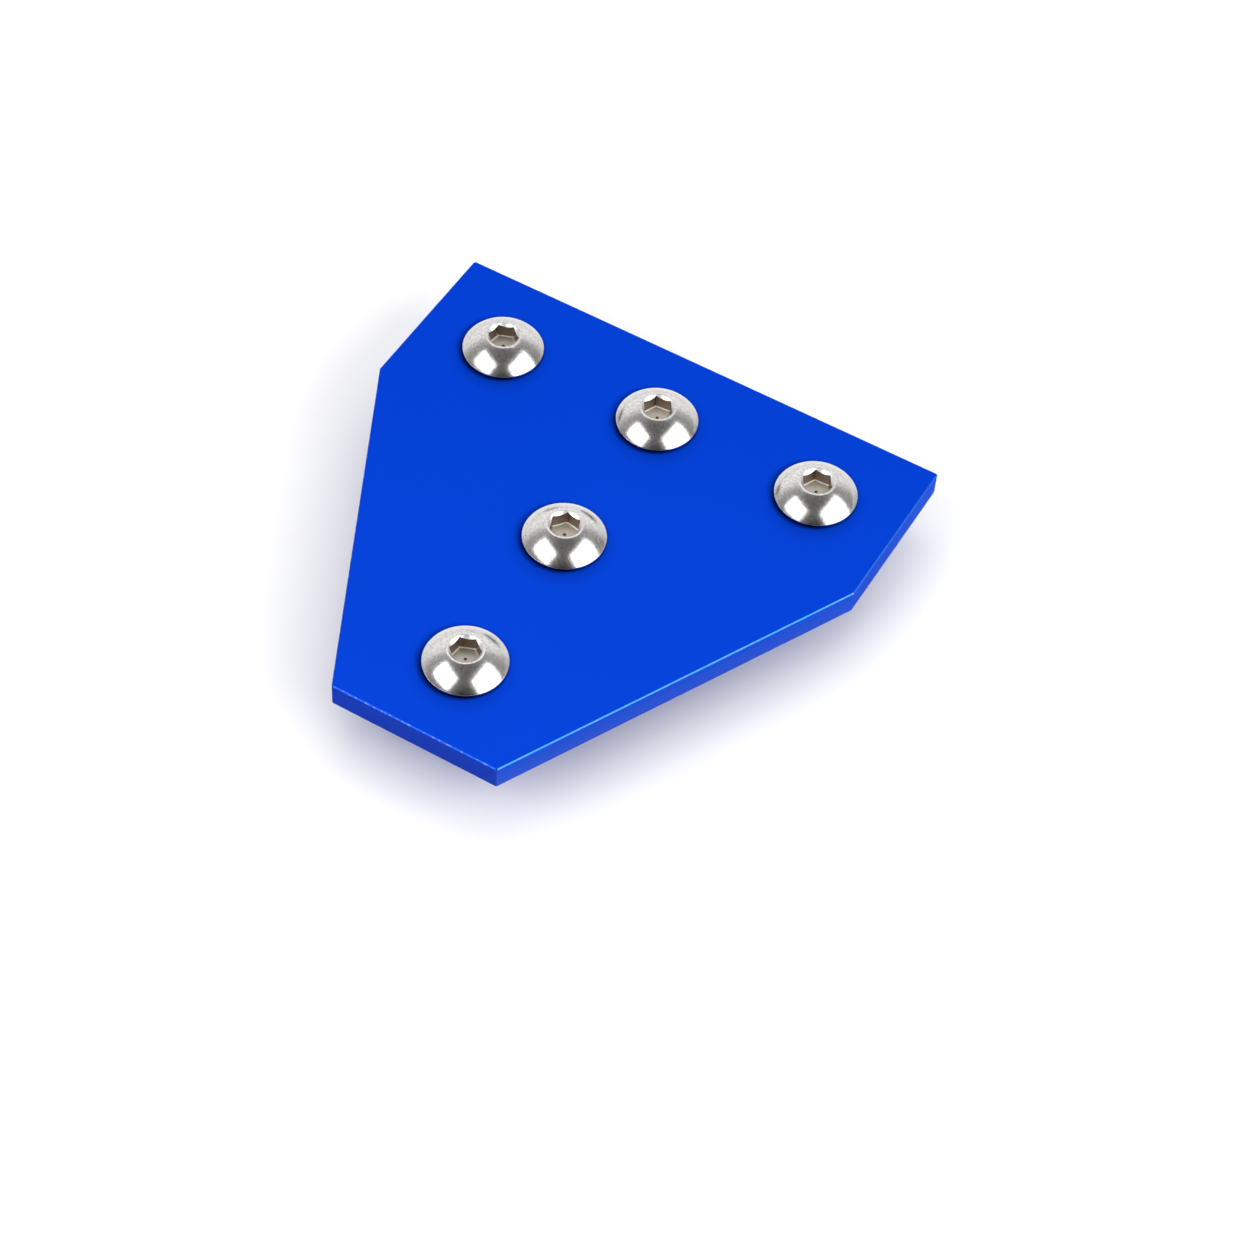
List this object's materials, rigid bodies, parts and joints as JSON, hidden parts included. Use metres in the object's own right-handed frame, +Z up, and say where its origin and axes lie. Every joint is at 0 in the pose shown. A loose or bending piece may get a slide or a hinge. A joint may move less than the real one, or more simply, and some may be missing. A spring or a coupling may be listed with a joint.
{
  "type": "extrusion joining plate",
  "caption": "Flat T-shaped plate with slanted sides that joins the end of one slotted framing bar to the side of another, with button-head screws and T-nuts.",
  "frame": {"origin": "on the plate's underside, on the axis of the screw that stands where the two bars meet", "axes": "+Z up through the plate towards the screw heads, X along the cross bar, -Y down the stem"},
  "size_m": [0.06, 0.06, 0.0111],
  "materials": {
    "plate_blue": "satin blue anodised, with bright broken edges",
    "screw_steel": "polished stainless",
    "nut_steel": "satin nickel plate"
  },
  "bodies": {
    "root": {"plate": "plate_blue", "screw_bar_left": "screw_steel", "screw_bar_middle": "screw_steel", "screw_bar_right": "screw_steel", "screw_stem_upper": "screw_steel", "screw_stem_lower": "screw_steel", "t_nut_bar_left": "nut_steel", "t_nut_bar_middle": "nut_steel", "t_nut_bar_right": "nut_steel", "t_nut_stem_upper": "nut_steel", "t_nut_stem_lower": "nut_steel"}
  },
  "joints": []
}
